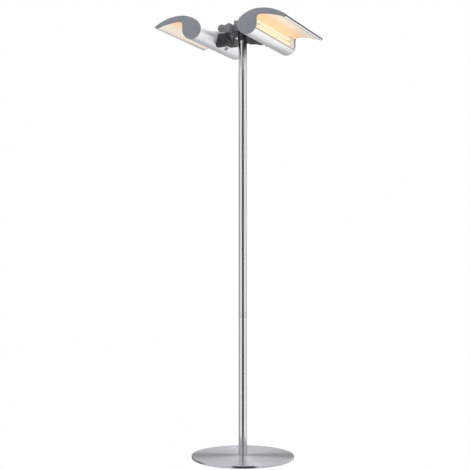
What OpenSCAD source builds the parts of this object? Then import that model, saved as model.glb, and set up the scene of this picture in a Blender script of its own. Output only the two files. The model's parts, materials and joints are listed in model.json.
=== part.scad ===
// Floor lamp with two long flap-up heads on one pole.
// The origin is the centre of the foot, where it stands on the floor. +Z is up.
// The heads lie along Y, their wings open out along X, and -Y is the front.
// Each head is drawn as the right-hand one, about its barrel's centre line, and mirrored for the left.

/* [Foot] */
// Diameter of the round foot
foot_d = 420; // [340:1:480]
// Height of the foot, floor to top face
foot_h = 12; // [11:0.5:18]
// Thickness of the steel skin over the foot
foot_skin = 1.5; // [1:0.1:2]
// Radius rolled on the foot's top edge
foot_edge_r = 2.5; // [1.6:0.1:4]
// Thickness of the rubber pad under the foot
pad_h = 2; // [1.5:0.1:3]

/* [Pole] */
// Outer diameter of both pole tubes
pole_d = 34; // [31:0.5:41]
// Wall of both pole tubes
pole_wall = 1.5; // [1:0.1:2]
// Height of the joint between the two tubes
joint_z = 576; // [300:1:1200]
// Height of the band that shows between the tubes
band_h = 22; // [12:1:40]
// How far the joint's spigots reach into the tubes
spigot_len = 40; // [25:1:60]
// Length of the plug in the foot of the pole
plug_len = 40; // [30:1:60]
// Diameter of the bolt that holds the pole to the foot
foot_bolt_d = 10; // [8:1:12]
// Diameter of the supply wire inside the pole
wire_d = 6; // [5:0.5:7]
// Height of the cable grommet above the plug
grommet_rise = 18; // [14:1:60]

/* [Head outline] */
// Radius of the round barrel
barrel_r = 40; // [37:0.5:48]
// Distance from the barrel's centre out to the crest
crest_u = 50; // [44:1:60]
// Height of the crest above the hollow's ceiling
crest_rise = 23.5; // [18:0.5:30]
// Distance from the barrel's centre out to the wing's tip
tip_u = 161; // [140:1:185]
// Height of the tip's upper corner above the barrel's centre
tip_v = 22; // [14:0.5:28]
// Thickness of the wing at its tip
tip_t = 12; // [11:0.5:14]
// Height of the hollow's ceiling above the lamp's trough
ceiling_rise = 6.5; // [5:0.5:9]
// Radius of the cove between the barrel and the ceiling
cove_r = 14; // [10:0.5:16]

/* [Head] */
// Length of each head over its caps
head_len = 460; // [445:1:560]
// How far the heads' middle lies in front of the pole
head_shift = 20; // [0:1:30]
// Height of the barrels' centre lines above the floor
axis_h = 1726; // [1400:1:1900]
// Wall of the aluminium shell
shell_t = 2; // [1.6:0.1:2.4]
// Thickness of the end caps
cap_t = 4; // [3.5:0.1:6]
// Thickness of the reflector sheet
reflector_t = 1; // [0.8:0.1:1.2]
// Bottom of the lamp's trough below the barrel's centre
trough_drop = 17; // [15:0.5:19]
// Width of the shell's lip under the tip
lip_w = 11; // [8:0.5:16]

/* [Lamp] */
// Diameter of the lamp's two glass tubes
tube_d = 17.5; // [14:0.1:20]
// Gap between the two tubes
tube_gap = 4; // [3.2:0.1:6]
// How far the lamp lies behind the barrel's flank
lamp_inset = 2.75; // [1.5:0.25:4]
// Length of the lamp, base included
lamp_len = 415; // [300:1:420]
// Length of the lamp's base
lamp_base_len = 25; // [20:1:32]
// Length of the lamp holder
holder_len = 26; // [20:1:30]

/* [Hinge] */
// Distance from the pole's centre line to a hinge pin
hinge_x = 70; // [68:0.5:72]
// Height of the hinge pins above the barrels' centre lines
hinge_rise = 37; // [36:0.5:42]
// Radius of the arm's round knuckle
knuckle_r = 17; // [15:0.5:18]
// Gap between a barrel and the knuckle above it
hinge_gap = 3.6; // [2.8:0.1:6]
// Radius of the lug that turns between the knuckles
lug_r = 14; // [12:0.5:16]
// Width of the lug along the pin
lug_w = 26; // [20:1:34]
// Diameter of a hinge pin
pin_d = 10; // [8:0.5:12]
// Half the length of an arm along the pin
arm_half = 60; // [50:1:66]

/* [Saddle] */
// How far the saddle stands out from the barrel towards the pole
saddle_depth = 30; // [24:0.5:32]
// Height of the saddle's top above the barrel's centre
saddle_top = 13; // [10:0.5:14]
// Depth of the saddle's front leg below the barrel's centre
saddle_drop = 40; // [34:0.5:42]
// Half the length of the saddle
saddle_half = 80; // [70:1:90]
// Thickness of the steel leaf on the saddle
leaf_t = 3; // [2.7:0.1:3.5]

/* [Hub] */
// Half the width of the hub's housing, side to side
hub_half_x = 30; // [28:0.5:32]
// Half the depth of the hub's housing, front to back
hub_half_y = 24; // [22:0.5:28]
// Top of the hub above the barrels' centre lines
hub_top = 74; // [70:0.5:90]
// Underside of the hub's housing above the barrels' centre lines
hub_floor = 30; // [28:0.5:34]
// Wall of the hub's housing
hub_wall = 4; // [3:0.5:5]
// Wall of the round collar over the pole's top
collar_wall = 3.5; // [2.5:0.1:5]
// Diameter of the spindle that the hub turns on
spindle_d = 18; // [16:0.5:20]

/* [Leads] */
// Diameter of the lead between the hub and each head
lead_d = 5; // [4:0.5:5.5]

/* [Hidden] */

$fn = 64;
left = -1;
right = 1;

// Clearances
seat = 0.02; // parts that are pressed or glued together
run = 0.05; // round parts that turn in each other
slack = 0.3; // parts that drop in
free_gap = 0.5; // parts that move past each other
cut = 1; // how far a cutter runs past the face it cuts

// Pole
pole_r = pole_d / 2;
bore_r = pole_r - pole_wall;
pole_top = axis_h + 3;
upper_z = joint_z + band_h;
wire_r = wire_d / 2;
grommet_z = foot_h + plug_len + grommet_rise;
grommet_r = wire_r + 2;
grommet_flange_r = grommet_r + 2.5;
wire_bend_r = bore_r - wire_r - 1;
foot_bolt_r = foot_bolt_d / 2;
foot_bolt_head_r = foot_bolt_r + 4;
foot_bolt_head_h = 5;
weight_top = foot_h - foot_skin;

// Swivel
collar_r = pole_r + free_gap + collar_wall;
plug_flange_h = 3;
bearing_len = 40;
washer_h = 1.5;
collar_skirt = 10;
spindle_r = spindle_d / 2;
spindle_bore_r = wire_r + 2;
spindle_foot_r = spindle_r + 3;
spindle_foot_h = 4;
collar_seat = pole_top + plug_flange_h + washer_h + run;
housing_z = axis_h + hub_floor;
hub_floor_t = 5;
nut_h = 7;
nut_r = spindle_r + 6;
lid_h = 3;

// Arms and screws
arm_bottom = 20;
arm_peak = 58;
arm_notch = 47;
arm_inner_x = hub_half_x + 6;
arm_screw_r = 2.5;
arm_screw_head_r = 4.5;
arm_screw_head_h = 4;
arm_screw_len = 14;
arm_screw_y = 12;
arm_screw_v = 46;
pin_r = pin_d / 2;
pin_head_r = pin_r + 1.5;
pin_head_h = 1.5;
fork_half = lug_w / 2 + free_gap;
fork_x = hinge_x - knuckle_r - 5;
axis_x = hinge_x + sqrt(pow(barrel_r + knuckle_r + hinge_gap, 2) - pow(hinge_rise, 2));
hinge_u = hinge_x - axis_x;
stop_u = fork_x + free_gap - axis_x; // the lug's nose meets the root of the fork here and stops the head
stop_h = 7;

// Head ends
front_y = -head_len / 2 - head_shift;
rear_y = head_len / 2 - head_shift;
inner_front_y = front_y + cap_t;
inner_rear_y = rear_y - cap_t;

// Trough, sized around the lamp that lies in it
lamp_back = 1.75; // between the lamp and the back of its trough
lamp_room = 1.05; // above and below the lamp's base
lamp_rim = 0.8; // the base stands proud of the tubes by this
tube_pitch = tube_d + tube_gap;
trough_floor = slack + reflector_t - trough_drop;
trough_top = trough_floor + tube_pitch + tube_d + 2 * lamp_rim + 2 * lamp_room;
trough_depth = lamp_back + tube_d + lamp_inset;
ceiling_v = trough_top + ceiling_rise;
crest_v = ceiling_v + crest_rise;

// Arcs of the head's outline, in the plane (u out from the pole, v up)
arc_step = 4;
back_r = (pow(crest_u, 2) + pow(crest_v, 2) - pow(barrel_r, 2)) / (2 * (crest_v - barrel_r));
back_c = [crest_u, crest_v - back_r];
back_a = atan2(-back_c[1], -back_c[0]);
wing_r = (pow(tip_u - crest_u, 2) + pow(crest_v - tip_v, 2)) / (2 * (crest_v - tip_v));
wing_c = [crest_u, crest_v - wing_r];
tip_a = atan2(tip_v - wing_c[1], tip_u - wing_c[0]);
tip_in = wing_c + (wing_r - tip_t) * [cos(tip_a), sin(tip_a)];
ceiling_r = (pow(tip_in[0] - barrel_r, 2) + pow(ceiling_v - tip_in[1], 2)) / (2 * (ceiling_v - tip_in[1]));
ceiling_c = [barrel_r, ceiling_v - ceiling_r];
ceiling_a = atan2(tip_in[1] - ceiling_c[1], tip_in[0] - ceiling_c[0]);
cove_c = [barrel_r + cove_r, ceiling_c[1] + sqrt(pow(ceiling_r, 2) - 2 * ceiling_r * cove_r)];
cove_a = atan2(cove_c[1] - ceiling_c[1], cove_c[0] - ceiling_c[0]);

function arc(c, r, from, to) =
    let (n = ceil(abs(to - from) / arc_step))
    [for (i = [0 : n]) c + r * [cos(from + (to - from) * i / n), sin(from + (to - from) * i / n)]];

function arc_angle(length, r) = length / r * 180 / PI;

// The head's outline, drawn in from its outer face by the distance e
function comma(e) = concat(
    arc([0, 0], barrel_r - e, 0, back_a - 360),
    arc(back_c, back_r - e, back_a, 90),
    arc(wing_c, wing_r - e, 90, tip_a + arc_angle(e, wing_r)),
    arc(ceiling_c, ceiling_r + e, ceiling_a + arc_angle(e, ceiling_r), cove_a),
    arc(cove_c, cove_r + e, cove_a, 180)
);

function wing_v(u) = wing_c[1] + sqrt(pow(wing_r, 2) - pow(u - wing_c[0], 2));
function ceiling_at(u) = ceiling_c[1] + sqrt(pow(ceiling_r, 2) - pow(u - ceiling_c[0], 2));
function middle_v(u) = (wing_v(u) + ceiling_at(u)) / 2;

// The part of the outline that the reflector takes over from the shell, less a margin at both ends
function hollow_side(low, lip_u) = concat(
    [[barrel_r - 8, low], [barrel_r - 8, middle_v(barrel_r)]],
    [for (i = [1 : 6]) let (u = barrel_r + (lip_u - barrel_r) * i / 6) [u, middle_v(u)]],
    [[lip_u, ceiling_at(lip_u) - 10], [barrel_r + 12, 0], [barrel_r + 12, low]]
);
lip_u = tip_in[0] - lip_w;
trough_u = barrel_r - trough_depth;

// Lamp
tube_r = tube_d / 2;
lamp_u = trough_u + lamp_back + tube_r;
lamp_v = (trough_top - trough_drop + reflector_t) / 2;
holder_rear_y = inner_rear_y - 2;
lamp_rear_y = holder_rear_y - holder_len - slack;
lamp_front_y = lamp_rear_y - lamp_len;
tubes_rear_y = lamp_rear_y - lamp_base_len;
bridge_in = 12;
lamp_pin_r = 1.2;
lamp_pin_len = 7;
tube_wall = 1;
clip_y = lamp_front_y + 40;
clip_w = 8;
clip_t = 1.2;

// Tie rods and cap screws
rod_r = 3;
cap_screw_r = 2;
cap_screw_head_r = 3.6;
cap_screw_head_h = 1.8;
cap_screw_len = 9;
wing_rod_u = crest_u + 12;
rim_t = 2;
rod_places = [[0, 0], [wing_rod_u, middle_v(wing_rod_u)]];

// Ballast
ballast_gap = 1; // between the ballast and the back of the trough
ballast_w = 28;
ballast_h = 27;
ballast_len = 220;
ballast_u = trough_u - reflector_t - ballast_gap - ballast_w;
ballast_reach = max(abs(ballast_u), abs(ballast_u + ballast_w));
ballast_v = seat - sqrt(pow(barrel_r - shell_t, 2) - pow(ballast_reach, 2));

// Saddle
saddle_u = -barrel_r - saddle_depth;
saddle_screw_r = 2.5;
saddle_screw_head_r = 4.5;
saddle_screw_head_h = 2;
saddle_screw_len = saddle_depth + 3;
saddle_screw_y = saddle_half - 16;
saddle_screw_v = -8;
leaf_screw_y = 30;
leaf_screw_u = saddle_u + 8;
leaf_screw_top = saddle_top + leaf_t - slack;
leg_len = 28;

// Switch
switch_a = 222;
switch_y = 34;
switch_half_y = 10;
switch_half_t = 6;
switch_flange = 1.5;
switch_in = 8;
rocker_half_y = 7;
rocker_half_t = 3.7;
rocker_tilt = 7;
rocker_pivot = barrel_r - 3;
rocker_pin_r = 1.2;

// Route of the right-hand lead: x and y from the pole, z above the barrels' centre lines
lead_start = [13, -6, 18];
lead_points = [
    lead_start, [19, -9, 18], [25, -12, 16], [30, -15, 10.5], [32.5, -18, 2], [33, -21, -9],
    [33, -24, -19], [32.5, -28, -26], [32.5, -33, -28.5], [32.5, -38, -26], [33, -42, -19],
    [34.5, -45, -10], [38, -46, -2.5], [43, -46, 1.8], [49, -46, 2.5], [58, -46, 2.5],
    [68, -46, 2.5], [78, -46, 2.5], [84, -46, 2.5]
];
lead_end = lead_points[len(lead_points) - 1];
lead_sides = 8;

module along_y(from, to) translate([0, to, 0]) rotate([90, 0, 0]) linear_extrude(to - from) children();

module on_side(side) mirror([side < 0 ? 1 : 0, 0, 0]) children();

module head_place(side) on_side(side) translate([axis_x, 0, axis_h]) children();

// A rod along Y from one y to another
module rod_y(r, from, to) translate([0, to, 0]) rotate([90, 0, 0]) cylinder(r = r, h = to - from);

// A rod along X from one x to another
module rod_x(r, from, to) translate([from, 0, 0]) rotate([0, 90, 0]) cylinder(r = r, h = to - from);

module box(low, high) translate(low) cube(high - low);

// Foot and pole

module foot_pad() color([0.12, 0.12, 0.13]) cylinder(r = foot_d / 2 - foot_skin - 2, h = pad_h, $fn = 160);

module foot_weight() color([0.3, 0.3, 0.32]) difference() {
    rotate_extrude($fn = 160) polygon([
        [0, pad_h], [foot_d / 2 - foot_skin - slack, pad_h],
        [foot_d / 2 - foot_skin - slack, weight_top - foot_edge_r],
        [foot_d / 2 - foot_skin - slack - foot_edge_r, weight_top], [0, weight_top]
    ]);
    cylinder(r = foot_bolt_r + slack, h = foot_h);
    cylinder(r = foot_bolt_head_r + 1, h = pad_h + slack + foot_bolt_head_h);
}

module foot_cover() color([0.72, 0.73, 0.75]) difference() {
    rotate_extrude($fn = 160) polygon(concat(
        [[0, weight_top], [0, foot_h]],
        arc([foot_d / 2 - foot_edge_r, foot_h - foot_edge_r], foot_edge_r, 90, 0),
        [[foot_d / 2, pad_h], [foot_d / 2 - foot_skin, pad_h]],
        arc([foot_d / 2 - foot_edge_r, foot_h - foot_edge_r], foot_edge_r - foot_skin, 0, 90)
    ));
    cylinder(r = foot_bolt_r + slack, h = foot_h + cut);
}

module foot_bolt() color([0.55, 0.56, 0.58]) difference() {
    translate([0, 0, pad_h + slack]) union() {
        cylinder(r = foot_bolt_head_r, h = foot_bolt_head_h);
        cylinder(r = foot_bolt_r, h = foot_h + plug_len * 0.7 - pad_h - slack);
    }
    translate([0, 0, pad_h + slack - cut]) cylinder(r = foot_bolt_r * 0.7, h = 3 + cut, $fn = 6);
}

module pole_plug() color([0.5, 0.5, 0.52]) difference() {
    translate([0, 0, foot_h]) cylinder(r = bore_r - seat, h = plug_len);
    translate([0, 0, foot_h - cut]) cylinder(r = foot_bolt_r + run, h = plug_len * 0.75 + cut);
}

module tube(from, to) translate([0, 0, from]) difference() {
    cylinder(r = pole_r, h = to - from, $fn = 96);
    translate([0, 0, -cut]) cylinder(r = bore_r, h = to - from + 2 * cut, $fn = 96);
}

module lower_pole() color([0.75, 0.76, 0.78]) difference() {
    tube(foot_h, joint_z);
    translate([0, 0, grommet_z]) rod_y(grommet_r + run, 0, pole_r + cut);
}

module pole_joint() color([0.68, 0.69, 0.71]) difference() {
    union() {
        translate([0, 0, joint_z]) cylinder(r = pole_r + 0.25, h = band_h, $fn = 96);
        translate([0, 0, joint_z - spigot_len]) cylinder(r = bore_r - seat, h = band_h + 2 * spigot_len);
    }
    translate([0, 0, joint_z - spigot_len - cut])
        cylinder(r = wire_r + 3, h = band_h + 2 * spigot_len + 2 * cut);
}

module upper_pole() color([0.75, 0.76, 0.78]) tube(upper_z, pole_top);

module cable_grommet() color([0.1, 0.1, 0.1]) translate([0, 0, grommet_z]) difference() {
    union() {
        rod_y(grommet_r, bore_r - 1, pole_r + 3);
        difference() {
            rod_y(grommet_flange_r, 0, pole_r + 3);
            translate([0, 0, -grommet_flange_r - cut])
                cylinder(r = pole_r + seat, h = 2 * grommet_flange_r + 2 * cut);
        }
    }
    rod_y(wire_r + run, 0, pole_r + 3 + cut);
}

module pole_wire() color([0.15, 0.15, 0.16]) union() {
    translate([0, 0, grommet_z]) rod_y(wire_r, wire_bend_r, pole_r + 3);
    translate([0, wire_bend_r, grommet_z + wire_bend_r]) rotate([0, 90, 0])
        rotate_extrude(angle = -90) translate([wire_bend_r, 0]) circle(r = wire_r, $fn = 32);
    translate([0, 0, grommet_z + wire_bend_r])
        cylinder(r = wire_r, h = housing_z + hub_floor_t + nut_h + 12 - grommet_z - wire_bend_r, $fn = 32);
}

// Swivel and hub

module bearing_plug() color([0.72, 0.6, 0.35]) difference() {
    union() {
        translate([0, 0, pole_top - bearing_len]) cylinder(r = bore_r - seat, h = bearing_len);
        translate([0, 0, pole_top]) cylinder(r = pole_r, h = plug_flange_h);
    }
    translate([0, 0, pole_top - bearing_len - cut]) cylinder(r = spindle_r + run, h = bearing_len + 10);
}

module swivel_washer() color([0.9, 0.9, 0.88]) translate([0, 0, pole_top + plug_flange_h]) difference() {
    cylinder(r = pole_r - 0.5, h = washer_h);
    translate([0, 0, -cut]) cylinder(r = spindle_r + run, h = washer_h + 2 * cut);
}

module spindle() color([0.7, 0.71, 0.73]) difference() {
    union() {
        translate([0, 0, pole_top - bearing_len - slack - spindle_foot_h])
            cylinder(r = spindle_foot_r, h = spindle_foot_h);
        translate([0, 0, pole_top - bearing_len - slack - spindle_foot_h])
            cylinder(r = spindle_r, h = housing_z + hub_floor_t + nut_h + 1 - pole_top + bearing_len
                + slack + spindle_foot_h);
    }
    translate([0, 0, pole_top - bearing_len - 10]) cylinder(r = spindle_bore_r, h = 200);
}

module spindle_nut() color([0.6, 0.61, 0.63]) translate([0, 0, housing_z + hub_floor_t]) difference() {
    cylinder(r = nut_r, h = nut_h, $fn = 6);
    translate([0, 0, -cut]) cylinder(r = spindle_r + seat, h = nut_h + 2 * cut);
}

module lead_hole(side) on_side(side) translate([0, 0, axis_h]) let (d = lead_points[1] - lead_start)
    translate(lead_start) rotate([0, 90, atan2(d[1], d[0])]) cylinder(r = lead_d / 2 + slack, h = 20);

module hub_collar() color([0.16, 0.17, 0.19]) difference() {
    translate([0, 0, pole_top - collar_skirt])
        cylinder(r = collar_r, h = housing_z - pole_top + collar_skirt, $fn = 96);
    translate([0, 0, pole_top - collar_skirt - cut])
        cylinder(r = pole_r + free_gap, h = collar_seat - pole_top + collar_skirt + cut, $fn = 96);
    translate([0, 0, axis_h]) cylinder(r = spindle_r + seat, h = 60);
    lead_hole(left);
    lead_hole(right);
}

module hub_housing() color([0.5, 0.52, 0.54]) difference() {
    box([-hub_half_x, -hub_half_y, housing_z], [hub_half_x, hub_half_y, axis_h + hub_top - lid_h]);
    box([-hub_half_x + hub_wall, -hub_half_y + hub_wall, housing_z + hub_floor_t],
        [hub_half_x - hub_wall, hub_half_y - hub_wall, axis_h + hub_top]);
    translate([0, 0, housing_z - cut]) cylinder(r = spindle_r + seat, h = hub_floor_t + 2 * cut);
    arm_screw_places() rod_x(arm_screw_r + slack, hub_half_x - hub_wall - cut, hub_half_x + cut);
}

module hub_lid() color([0.45, 0.47, 0.49]) union() {
    box([-hub_half_x, -hub_half_y, axis_h + hub_top - lid_h], [hub_half_x, hub_half_y, axis_h + hub_top]);
    box([-hub_half_x + hub_wall + slack, -hub_half_y + hub_wall + slack, axis_h + hub_top - lid_h - 3],
        [hub_half_x - hub_wall - slack, hub_half_y - hub_wall - slack, axis_h + hub_top - lid_h]);
}

module terminal_block() color([0.92, 0.91, 0.86]) difference() {
    box([-18, wire_r + 1, housing_z + hub_floor_t + nut_h + 3],
        [18, hub_half_y - hub_wall, housing_z + hub_floor_t + nut_h + 18]);
    for (i = [-1 : 1])
        translate([i * 11, (hub_half_y - hub_wall) / 2 + 2, housing_z + hub_floor_t + nut_h + 8])
            cylinder(r = 2.6, h = 20);
}

// The two screw places of both arms, each pointing out along X
module arm_screw_places() for (side = [left, right]) on_side(side)
    for (y = [-arm_screw_y, arm_screw_y]) translate([0, y, axis_h + arm_screw_v]) children();

module arm_screws() color([0.35, 0.35, 0.37]) arm_screw_places() union() {
    rod_x(arm_screw_head_r, hub_half_x - hub_wall - arm_screw_head_h, hub_half_x - hub_wall);
    rod_x(arm_screw_r, hub_half_x - hub_wall - 1, hub_half_x - hub_wall + arm_screw_len);
}

module arm_profile(from_x) union() {
    translate([hinge_x, hinge_rise]) circle(r = knuckle_r);
    polygon([[from_x, arm_bottom], [hinge_x, hinge_rise - knuckle_r], [hinge_x, hinge_rise],
        [hinge_x - 6, arm_notch], [arm_inner_x, arm_peak], [from_x, arm_peak]]);
}

module arm(side) color([0.5, 0.52, 0.54]) on_side(side) translate([0, 0, axis_h]) difference() {
    union() {
        along_y(-arm_half, arm_half) arm_profile(arm_inner_x);
        along_y(-hub_half_y, hub_half_y) arm_profile(hub_half_x);
    }
    box([fork_x, -fork_half, -cut], [hinge_x + knuckle_r + cut, fork_half, arm_peak + cut]);
    translate([hinge_x, 0, hinge_rise]) rod_y(pin_r + seat, -arm_half - cut, arm_half + cut);
    for (y = [-arm_screw_y, arm_screw_y])
        translate([0, y, arm_screw_v]) rod_x(arm_screw_r + run, hub_half_x - cut, hub_half_x + arm_screw_len);
}

module left_arm() arm(left);
module right_arm() arm(right);

module hinge_pin(side) color([0.78, 0.78, 0.8]) on_side(side) translate([hinge_x, 0, axis_h + hinge_rise]) {
    rod_y(pin_r, -arm_half - pin_head_h, arm_half + pin_head_h);
    rod_y(pin_head_r, -arm_half - pin_head_h, -arm_half);
    rod_y(pin_head_r, arm_half, arm_half + pin_head_h);
}

module left_hinge_pin() hinge_pin(left);
module right_hinge_pin() hinge_pin(right);

// Heads

// Frame of the switch: x along Y of the head, y across, z out of the barrel
module switch_place() rotate([0, 90 - switch_a, 0]) translate([0, switch_y, 0]) children();

module shell(side) color([0.86, 0.87, 0.88]) head_place(side) difference() {
    along_y(inner_front_y, inner_rear_y) difference() {
        polygon(comma(0));
        polygon(comma(shell_t));
        polygon(hollow_side(-trough_drop, lip_u));
    }
    for (y = [-saddle_screw_y, saddle_screw_y])
        translate([0, y, saddle_screw_v]) rod_x(saddle_screw_r + slack, -barrel_r - cut, -barrel_r / 2);
    translate([0, lead_end[1], lead_end[2]]) rod_x(lead_d / 2 + free_gap, -barrel_r - cut, -barrel_r / 2);
    switch_place() box([-switch_half_t - slack, -switch_half_y - slack, barrel_r - 6],
        [switch_half_t + slack, switch_half_y + slack, barrel_r + cut]);
}

module reflector(side) color([1, 0.97, 0.9]) head_place(side)
    along_y(inner_front_y + slack, inner_rear_y - slack) intersection() {
        polygon(comma(0));
        union() {
            difference() {
                polygon(comma(0));
                polygon(comma(reflector_t));
                translate([-barrel_r, -barrel_r - cut])
                    square([2 * barrel_r + 12, barrel_r + cut + trough_top]);
                outside_hollow();
            }
            polygon([
                [barrel_r + 5, trough_top + reflector_t], [trough_u - reflector_t, trough_top + reflector_t],
                [trough_u - reflector_t, slack - trough_drop], [barrel_r, slack - trough_drop],
                [barrel_r, slack - trough_drop + reflector_t], [trough_u, slack - trough_drop + reflector_t],
                [trough_u, trough_top], [barrel_r + 5, trough_top]
            ]);
        }
    }

// Everything in the head's plane that isn't on the hollow's side
module outside_hollow() difference() {
    translate([-2 * barrel_r, -2 * barrel_r]) square([4 * barrel_r + tip_u, 5 * barrel_r]);
    polygon(hollow_side(-trough_drop, lip_u - slack));
}

module lip_trim(side) color([0.25, 0.25, 0.26]) head_place(side) along_y(front_y, rear_y)
    translate(wing_c) rotate(tip_a) translate([wing_r - 7, -1.6]) square([5.5, 1.6 - run]);

module cap_outline() difference() {
    polygon(comma(0));
    for (p = rod_places) translate(p) circle(r = cap_screw_r + slack, $fn = 32);
}

// A rim that drops inside the shell's outer wall and stays clear of the reflector
module cap_rim() difference() {
    polygon(comma(shell_t + slack));
    polygon(comma(shell_t + slack + rim_t));
    polygon(hollow_side(-trough_drop - slack, tip_u));
    translate([trough_u - reflector_t - slack, -trough_drop - slack])
        square([trough_depth + reflector_t + slack, trough_top + reflector_t + trough_drop + 2 * slack]);
}

module cap(side, outer_y, inner_y) color([0.47, 0.49, 0.52]) head_place(side) difference() {
    union() {
        along_y(min(outer_y, inner_y), max(outer_y, inner_y)) cap_outline();
        along_y(min(inner_y, 2 * inner_y - outer_y), max(inner_y, 2 * inner_y - outer_y)) cap_rim();
    }
    for (p = rod_places) translate([p[0], 0, p[1]])
        rod_y(cap_screw_head_r + slack, outer_y - cap_screw_head_h - slack, outer_y + cap_screw_head_h + slack);
}

// A cap screw with its head's face at y = 0, pointing along +Y
module cap_screw() union() {
    rod_y(cap_screw_head_r, 0, cap_screw_head_h);
    rod_y(cap_screw_r, 0, cap_screw_len);
}

module cap_screws(side) color([0.7, 0.71, 0.72]) head_place(side) for (p = rod_places)
    translate([p[0], 0, p[1]]) {
        translate([0, front_y + slack, 0]) cap_screw();
        translate([0, rear_y - slack, 0]) rotate([0, 0, 180]) cap_screw();
    }

module tie_rods(side) color([0.7, 0.71, 0.72]) head_place(side) for (p = rod_places)
    translate([p[0], 0, p[1]]) difference() {
        rod_y(rod_r, inner_front_y, inner_rear_y);
        rod_y(cap_screw_r + run, inner_front_y - cut, inner_front_y + cap_screw_len);
        rod_y(cap_screw_r + run, inner_rear_y - cap_screw_len, inner_rear_y + cut);
    }

module both_tubes() for (way = [-1, 1]) translate([lamp_u, 0, lamp_v + way * tube_pitch / 2]) children();

module lamp_tube(side) color([1, 0.95, 0.82]) head_place(side) union() {
    both_tubes() difference() {
        rod_y(tube_r, lamp_front_y, tubes_rear_y);
        rod_y(tube_r - tube_wall, lamp_front_y + tube_wall, tubes_rear_y - tube_wall);
    }
    translate([lamp_u, lamp_front_y + bridge_in, lamp_v - tube_pitch / 2 + tube_r - 1])
        cylinder(r = tube_r / 2, h = tube_pitch - 2 * tube_r + 2);
}

module pin_places() for (way = [-1, 1]) translate([lamp_u, 0, lamp_v + way * 8]) children();

module lamp_base(side) color([0.95, 0.95, 0.93]) head_place(side) difference() {
    union() {
        box([trough_u + slack, tubes_rear_y - 6, lamp_v - tube_pitch / 2 - tube_r - lamp_rim],
            [lamp_u + tube_r - 0.6, lamp_rear_y, lamp_v + tube_pitch / 2 + tube_r + lamp_rim]);
        pin_places() rod_y(lamp_pin_r, lamp_rear_y - 1, lamp_rear_y + lamp_pin_len);
    }
    both_tubes() rod_y(tube_r + run, tubes_rear_y - 6 - cut, tubes_rear_y);
}

module lamp_holder(side) color([0.9, 0.9, 0.88]) head_place(side) difference() {
    box([trough_u, holder_rear_y - holder_len, trough_floor],
        [lamp_u + tube_r - 0.6, holder_rear_y, trough_top]);
    pin_places()
        rod_y(lamp_pin_r + slack, holder_rear_y - holder_len - cut, lamp_rear_y + lamp_pin_len + slack);
}

module lamp_clip(side) color([0.8, 0.8, 0.82]) head_place(side) union() {
    both_tubes() difference() {
        rod_y(tube_r + run + clip_t, clip_y - clip_w / 2, clip_y + clip_w / 2);
        rod_y(tube_r + run, clip_y - clip_w / 2 - cut, clip_y + clip_w / 2 + cut);
        box([3, clip_y - clip_w, -2 * tube_r], [2 * tube_r, clip_y + clip_w, 2 * tube_r]);
    }
    box([trough_u, clip_y - clip_w / 2, lamp_v - tube_pitch / 2], [trough_u + 1.6, clip_y + clip_w / 2,
        lamp_v + tube_pitch / 2]);
}

module ballast(side) color([0.85, 0.86, 0.84]) head_place(side)
    box([ballast_u, -head_shift - ballast_len / 2, ballast_v],
        [ballast_u + ballast_w, -head_shift + ballast_len / 2, ballast_v + ballast_h]);

module saddle(side) color([0.15, 0.16, 0.18]) head_place(side) difference() {
    along_y(-saddle_half, saddle_half) polygon([
        [saddle_u, saddle_top], [-barrel_r - 14, saddle_top], [2 - barrel_r, saddle_top - 7],
        [10 - barrel_r, 0], [10 - barrel_r, -22], [8 - barrel_r, -saddle_drop],
        [saddle_u + 7, 2 - saddle_drop], [saddle_u, 10 - saddle_drop]
    ]);
    rod_y(barrel_r + seat, -saddle_half - cut, saddle_half + cut);
    // The arch behind the front leg
    translate([saddle_u - cut, 0, 0]) rotate([90, 0, 90]) linear_extrude(saddle_depth + barrel_r) polygon([
        [leg_len - saddle_half, -2 * barrel_r], [leg_len - saddle_half, 4 - saddle_drop],
        [leg_len + 12 - saddle_half, -22], [0, -20], [saddle_half - 12, -17], [saddle_half + cut, -8],
        [saddle_half + cut, -2 * barrel_r]
    ]);
    for (y = [-saddle_screw_y, saddle_screw_y]) translate([0, y, saddle_screw_v]) {
        rod_x(saddle_screw_r + slack, saddle_u - cut, 0);
        rod_x(saddle_screw_head_r + slack, saddle_u - cut, saddle_u + slack + saddle_screw_head_h);
    }
    for (y = [-leaf_screw_y, leaf_screw_y]) translate([leaf_screw_u, y, -2 * barrel_r])
        cylinder(r = saddle_screw_r + run, h = 3 * barrel_r);
    translate([0, lead_end[1], lead_end[2]]) rod_x(lead_d / 2 + free_gap, saddle_u - cut, 0);
}

module saddle_screw() union() {
    rod_x(saddle_screw_head_r, 0, saddle_screw_head_h);
    rod_x(saddle_screw_r, 0, saddle_screw_len);
}

module saddle_screws(side) color([0.6, 0.61, 0.63]) head_place(side) {
    for (y = [-saddle_screw_y, saddle_screw_y]) translate([saddle_u + slack, y, saddle_screw_v]) saddle_screw();
    for (y = [-leaf_screw_y, leaf_screw_y]) translate([leaf_screw_u, y, leaf_screw_top])
        rotate([0, 90, 0]) saddle_screw();
}

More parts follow.
